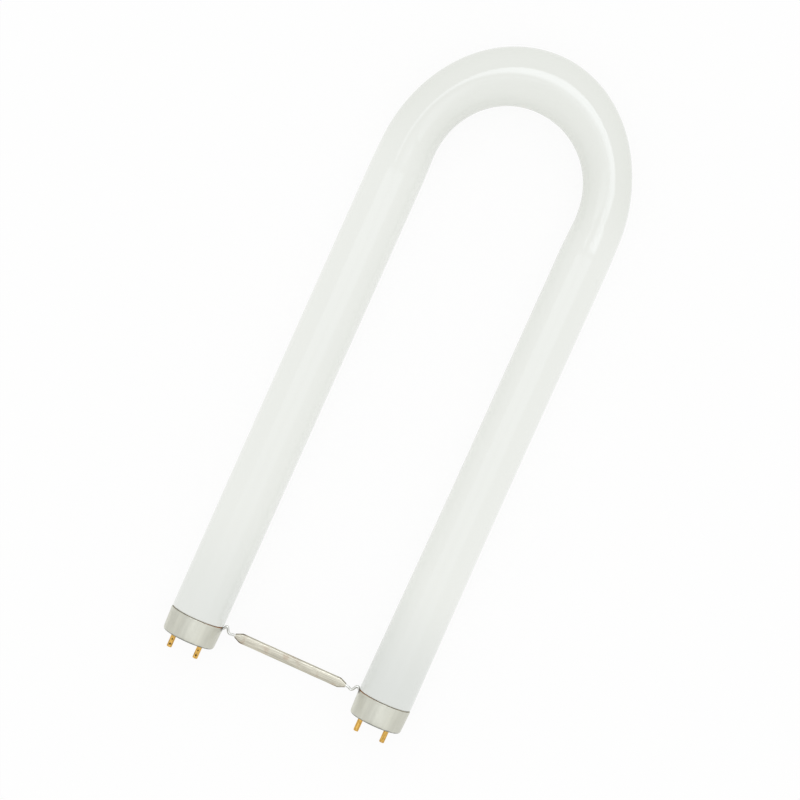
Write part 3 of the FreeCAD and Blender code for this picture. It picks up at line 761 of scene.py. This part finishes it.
class LAMP_OT_cement_rings(bpy.types.Operator):
    """Run the rings of basing cement between glass and caps, with an uneven bead in the joint"""

    bl_idname = "lamp.cement_rings"
    bl_label = "Cement Rings"

    def execute(self, context):
        settings = context.scene.lamp_caps
        glass = context.scene.lamp_glass
        rim = in_mm(settings.rim) / 2
        inner = in_mm(glass.neck) / 2
        height = in_mm(RIM_Y - FACE_Y)
        # up the cap's wall to the bead in the joint, and in to the glass
        profile = [(inner + 0.02, height - 6.05), (rim - 0.75, height - 6.0), (rim - 0.45, height - 0.3)]
        profile += [(rim - 0.42, height - 0.06), (rim - 0.55, height + 0.1), (rim - 0.9, height + 0.13)]
        profile += [(inner + 0.02, height + 0.15)]
        for k, (side, sign) in enumerate(SIDES):
            across = sign * HALF
            ring = turned(side + "_cement_bead", profile, across, CEMENT_SIDES)
            bpy.ops.object.mode_set(mode="EDIT")
            bpy.ops.mesh.select_mode(type="VERT")
            bpy.ops.mesh.select_all(action="DESELECT")
            mesh = bmesh.from_edit_mesh(ring.data)
            for corner in mesh.verts:
                corner.select_set(corner.co.y > RIM_Y - mm(0.1))
            bmesh.update_edit_mesh(ring.data)
            bpy.ops.transform.vertex_random(offset=mm(0.03), seed=7 + k)
            bpy.ops.object.mode_set(mode="OBJECT")
            stone = basing_cement(settings, side + "_basing_cement", across - sign * mm(rim))
            finish_piece(ring, stone, side + "_cap_cement", angle=60)
        return {"FINISHED"}


class LAMP_OT_contact_pins(bpy.types.Operator):
    """Turn the four hollow brass pins and strike two crimp dents in each"""

    bl_idname = "lamp.contact_pins"
    bl_label = "Contact Pins"

    def execute(self, context):
        settings = context.scene.lamp_pins
        brass = pin_brass(settings)
        dark = dent_brass(settings)
        metal = lead_alloy(settings)
        radius = in_mm(settings.diameter) / 2
        bore = in_mm(settings.bore) / 2
        tip = in_mm(settings.tip)
        low = in_mm(PIN_LOW.y - FACE_Y)
        high = in_mm(PIN_HIGH.y - FACE_Y)
        plate = in_mm(PLATE_HIGH.y - FACE_Y)
        # down the bore, round the tip, up the pin and the shank in the plate, and over the riveted head
        profile = [(bore, high - 0.05), (bore, low + 0.2)]
        profile += corner_arc(bore + 0.1, low + 0.13, 0.1, 180, 270, 3)
        profile += corner_arc(radius - tip, low + tip, tip, -90, 0, 6)
        profile += [(radius, low + 0.4 * k) for k in range(2, 17)]
        profile += [(radius, -0.03), (0.97, 0.0), (0.97, plate), (1.6, plate + 0.02), (1.6, high)]
        for side, sign in SIDES:
            for where, toward in (("outer", sign), ("inner", -sign)):
                across = sign * HALF + toward * settings.spacing / 2
                pin = turned("%s_%s_contact" % (side, where), profile, across, PIN_SIDES)
                pin.data.materials.append(brass)
                for from_tip, depth in DENTS:
                    bpy.ops.object.select_all(action="DESELECT")
                    out = AXIS_Z - sign * (mm(radius - depth) + settings.dent)
                    spot = (across, FACE_Y + mm(low + from_tip), out)
                    bpy.ops.mesh.primitive_uv_sphere_add(segments=24, ring_count=12, radius=settings.dent,
                                                         location=spot)
                    punch = context.active_object
                    bpy.ops.object.transform_apply(location=True, rotation=True, scale=True)
                    punch.data.materials.append(dark)
                    cut_away(pin, punch)
                finish_piece(pin, brass, "%s_%s_pin" % (side, where), angle=40)
                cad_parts["%s_%s_lead" % (side, where)].material_slots[0].material = metal
        return {"FINISHED"}


class LAMP_OT_pin_plates(bpy.types.Operator):
    """Give the two moulded pin plates their phenolic finish"""

    bl_idname = "lamp.pin_plates"
    bl_label = "Pin Plates"

    def execute(self, context):
        resin = moulded_phenolic(context.scene.lamp_caps)
        for side, sign in SIDES:
            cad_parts[side + "_pin_insulator"].material_slots[0].material = resin
        return {"FINISHED"}


class LAMP_OT_spacer_sleeve(bpy.types.Operator):
    """Flatten the spacer sleeve between the caps and pinch its two ends"""

    bl_idname = "lamp.spacer_sleeve"
    bl_label = "Spacer Sleeve"

    def execute(self, context):
        settings = context.scene.lamp_brace
        thick = settings.sleeve_thickness / 2
        reach = settings.sleeve_width / 2 - thick
        tip = settings.sleeve_length / 2
        along = RIM_Y - settings.drop
        # distance from the end, share of the reach and of the thickness
        pinch = [(0.0, 0.10, 0.86), (0.35, 0.16, 0.87), (1.0, 0.36, 0.90), (2.2, 0.74, 0.96),
                 (3.0, 0.95, 0.99), (3.6, 1.0, 1.0), (5.0, 1.0, 1.0)]
        flats = [(-14.0, 0.99, 0.98), (-6.0, 1.0, 1.0), (3.0, 0.98, 0.985), (11.0, 1.0, 1.0),
                 (17.0, 0.99, 0.98)]
        stations = [(-tip + mm(d), c, t) for d, c, t in pinch]
        stations += [(mm(x), c, t) for x, c, t in flats]
        stations += [(tip - mm(d), c, t) for d, c, t in reversed(pinch)]
        square = (0.0, math.pi / 2, 0.0)
        rings = [(thick * t, (x, along, AXIS_Z), square) for x, c, t in stations]
        sleeve = skin("flattened_sleeve", rings, SLEEVE_SIDES, closed=False)
        # take the ends off, then draw each ring out as far as the sleeve is wide there
        bpy.ops.object.mode_set(mode="EDIT")
        bpy.ops.mesh.select_mode(type="FACE")
        bpy.ops.mesh.select_all(action="DESELECT")
        mesh = bmesh.from_edit_mesh(sleeve.data)
        for face in mesh.faces:
            face.select_set(len(face.verts) == SLEEVE_SIDES)
        bmesh.update_edit_mesh(sleeve.data)
        bpy.ops.mesh.delete(type="ONLY_FACE")
        bpy.ops.object.mode_set(mode="OBJECT")
        reaches = {k: reach * c for k, (x, c, t) in enumerate(stations)}
        part_rings(sleeve, SLEEVE_SIDES, reaches, 1, along)
        wall = sleeve.modifiers.new("wall", "SOLIDIFY")
        wall.thickness = settings.sheet
        wall.offset = -1.0
        bpy.context.view_layer.objects.active = sleeve
        bpy.ops.object.modifier_apply(modifier=wall.name)
        finish_piece(sleeve, dull_plating(settings), "spacer_sleeve", angle=35)
        return {"FINISHED"}


class LAMP_OT_tie_wire(bpy.types.Operator):
    """Bend the tie wire: a hook inside each cap, a wave beside it, and a run through the sleeve"""

    bl_idname = "lamp.tie_wire"
    bl_label = "Tie Wire"

    def execute(self, context):
        settings = context.scene.lamp_brace
        # millimetres out from the cap's axis, and up from its rim
        hook = [(11.2, -5.0), (11.2, -2.2), (11.2, -0.45)]
        run = [(21.0, -0.9), (32.0, -0.9)]
        left_end = hook + [(12.8, -0.45), (13.9, 2.0), (15.7, -1.5), (17.6, -0.9)] + run
        right_end = hook + [(12.4, -0.45), (13.7, 1.5), (15.6, -2.1), (17.4, -0.9)] + run
        corners = [(mm(x) - HALF, RIM_Y + mm(y)) for x, y in left_end]
        corners += [(HALF - mm(x), RIM_Y + mm(y)) for x, y in reversed(right_end)]
        bpy.ops.object.select_all(action="DESELECT")
        bpy.ops.curve.primitive_nurbs_path_add()
        wire = context.active_object
        wire.name = "tie_wire_waved"
        line = wire.data.splines[0]
        line.points.add(len(corners) - len(line.points))
        for point, (x, y) in zip(line.points, corners):
            point.co = (x, y, AXIS_Z, 1.0)
        line.order_u = 3
        line.use_endpoint_u = True
        line.resolution_u = 12
        wire.data.bevel_depth = settings.wire / 2
        wire.data.bevel_resolution = 6
        wire.data.use_fill_caps = True
        bpy.ops.object.convert(target="MESH")
        wire = context.active_object
        bpy.ops.object.transform_apply(location=True, rotation=True, scale=True)
        bpy.ops.object.mode_set(mode="EDIT")
        bpy.ops.mesh.select_all(action="SELECT")
        bpy.ops.mesh.remove_doubles(threshold=mm(0.001))
        bpy.ops.mesh.normals_make_consistent(inside=False)
        bpy.ops.object.mode_set(mode="OBJECT")
        finish_piece(wire, tinned_steel(settings), "tie_wire", angle=40)
        return {"FINISHED"}


class LAMP_OT_stage(bpy.types.Operator):
    """Set the white floor, the even sky, the softboxes and the camera"""

    bl_idname = "lamp.stage"
    bl_label = "Stage"

    def execute(self, context):
        settings = context.scene.lamp_stage
        bpy.ops.object.select_all(action="DESELECT")
        bpy.ops.mesh.primitive_plane_add(size=settings.floor_size, location=(0.0, 0.0, 0.0))
        floor = context.active_object
        floor.name = "white_floor"
        floor.data.materials.append(white_floor(settings))
        world = bpy.data.worlds.new("even_sky")
        world.use_nodes = True
        tree = world.node_tree
        tree.nodes.clear()
        way = node(tree, "ShaderNodeTexCoord")
        axes = node(tree, "ShaderNodeSeparateXYZ", {0: way.outputs["Generated"]})
        level = spread(tree, axes.outputs["Z"], 0.0, 0.9, settings.horizon, settings.zenith)
        sky = node(tree, "ShaderNodeBackground", {"Color": (1.0, 1.0, 1.0, 1.0), "Strength": level})
        node(tree, "ShaderNodeOutputWorld", {0: sky.outputs[0]})
        context.scene.world = world
        # the softboxes only show in the gloss: an arch beyond the bend, wide at its back and thin at its
        # left foot, a dim panel over the legs and a small bright one before the right foot
        bpy.ops.object.select_all(action="DESELECT")
        bpy.ops.mesh.primitive_grid_add(x_subdivisions=8, y_subdivisions=100, size=1.0)
        arch = context.active_object
        arch.name = "arch_softbox"
        for corner in arch.data.vertices:
            a = math.radians(ARCH_START - ARCH_SWEEP * (corner.co.y + 0.5))
            out = (corner.co.x - 0.3) * (1.0 + 1.6 * math.sin(a) ** 2 + 0.7 * math.cos(a))
            spot = Vector((ARCH_X * math.cos(a), ARCH_MIDDLE + ARCH_Y * math.sin(a), SOFTBOX_Z))
            away = Vector((math.cos(a) / ARCH_X, math.sin(a) / ARCH_Y, 0.0)).normalized()
            corner.co = spot + away * out
        arch.data.materials.append(softbox_cloth(settings, "arch_cloth", ARCH_ACROSS, ARCH_ALONG, False))
        softboxes = [arch]
        for name, left, right, near, far, along, gridded in PANELS:
            middle = ((left + right) / 2, (near + far) / 2, SOFTBOX_Z)
            bpy.ops.object.select_all(action="DESELECT")
            bpy.ops.mesh.primitive_plane_add(size=1.0, location=middle)
            panel = context.active_object
            panel.name = name + "_softbox"
            panel.scale = (right - left, far - near, 1.0)
            bpy.ops.object.transform_apply(location=True, rotation=True, scale=True)
            cloth = softbox_cloth(settings, name + "_cloth", PANEL_ACROSS, along, gridded)
            panel.data.materials.append(cloth)
            softboxes.append(panel)
        for softbox in softboxes:
            softbox.visible_camera = False
            softbox.visible_diffuse = False
        bpy.ops.object.select_all(action="DESELECT")
        bpy.ops.object.camera_add()
        camera = context.active_object
        camera.name = "lamp_camera"
        pose = Matrix.Translation(CAMERA_AT)
        for axis, degrees in CAMERA_TURNS:
            pose = pose @ Matrix.Rotation(math.radians(degrees), 4, axis)
        camera.matrix_world = pose
        camera.data.lens = settings.focal
        camera.data.sensor_width = 36.0
        camera.data.clip_end = 50.0
        context.scene.camera = camera
        context.scene.view_settings.view_transform = "Standard"
        return {"FINISHED"}


GROUPS = (
    ("lamp_glass", GlassSettings),
    ("lamp_caps", CapSettings),
    ("lamp_pins", PinSettings),
    ("lamp_brace", BraceSettings),
    ("lamp_stage", StageSettings),
)
OPERATORS = (
    LAMP_OT_glass_tube,
    LAMP_OT_end_caps,
    LAMP_OT_cement_rings,
    LAMP_OT_contact_pins,
    LAMP_OT_pin_plates,
    LAMP_OT_spacer_sleeve,
    LAMP_OT_tie_wire,
    LAMP_OT_stage,
)


class LAMP_PT_sidebar(bpy.types.Panel):
    """Sizes, colours and pieces of the lamp"""

    bl_label = "Lamp"
    bl_idname = "LAMP_PT_sidebar"
    bl_space_type = "VIEW_3D"
    bl_region_type = "UI"
    bl_category = "Lamp"

    def draw(self, context):
        for name, group in GROUPS:
            box = self.layout.box()
            for prop in group.__annotations__:
                box.prop(getattr(context.scene, name), prop)
        for kind in OPERATORS:
            self.layout.operator(kind.bl_idname)


def register():
    for name, group in GROUPS:
        bpy.utils.register_class(group)
        setattr(bpy.types.Scene, name, PointerProperty(type=group))
    for kind in (*OPERATORS, LAMP_PT_sidebar):
        bpy.utils.register_class(kind)


def unregister():
    for kind in reversed((*OPERATORS, LAMP_PT_sidebar)):
        bpy.utils.unregister_class(kind)
    for name, group in reversed(GROUPS):
        delattr(bpy.types.Scene, name)
        bpy.utils.unregister_class(group)


def main():
    register()
    bpy.ops.lamp.glass_tube()
    bpy.ops.lamp.end_caps()
    bpy.ops.lamp.cement_rings()
    bpy.ops.lamp.contact_pins()
    bpy.ops.lamp.pin_plates()
    bpy.ops.lamp.spacer_sleeve()
    bpy.ops.lamp.tie_wire()
    bpy.ops.lamp.stage()


if __name__ == "__main__":
    main()
